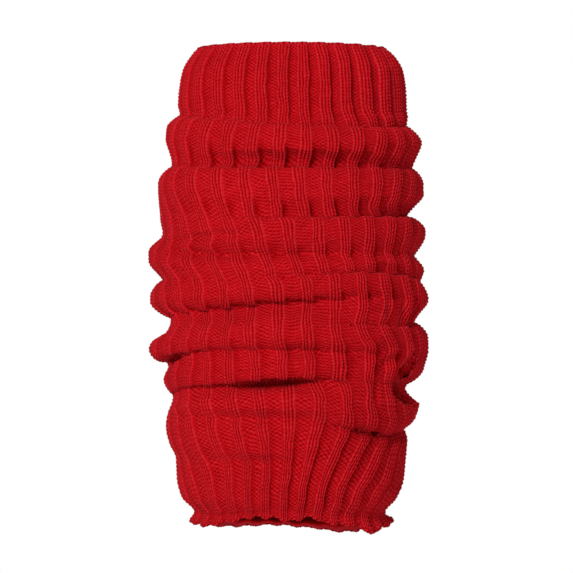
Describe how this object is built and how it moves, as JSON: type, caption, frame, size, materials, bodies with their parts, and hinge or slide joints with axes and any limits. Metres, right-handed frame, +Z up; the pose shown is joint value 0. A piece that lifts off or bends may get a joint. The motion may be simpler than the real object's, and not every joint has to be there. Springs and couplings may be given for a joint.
{
  "type": "leg warmer",
  "caption": "Scrunched rib-knit leg warmer: a soft knitted tube, open at both ends, with a smooth calf cuff, stacked folds and a frilled ankle edge.",
  "frame": {"origin": "on the tube's axis, 20 mm below the rim, where the calf grips the cuff", "axes": "+Z up along the leg towards the knee, -Y the front, +X the right side as seen from the front"},
  "size_m": [0.1609, 0.1417, 0.2864],
  "materials": {
    "rib_knit": "matte red acrylic yarn, two-by-two rib knit",
    "edge_yarn": "matte red acrylic yarn, bound-off and stretched cast-on edges"
  },
  "bodies": {
    "root": {"bound_edge": "edge_yarn", "cuff": "rib_knit", "first_roll": "rib_knit", "upper_folds": "rib_knit", "middle_folds": "rib_knit", "last_roll": "rib_knit", "ankle": "rib_knit", "frill": "edge_yarn"}
  },
  "joints": []
}
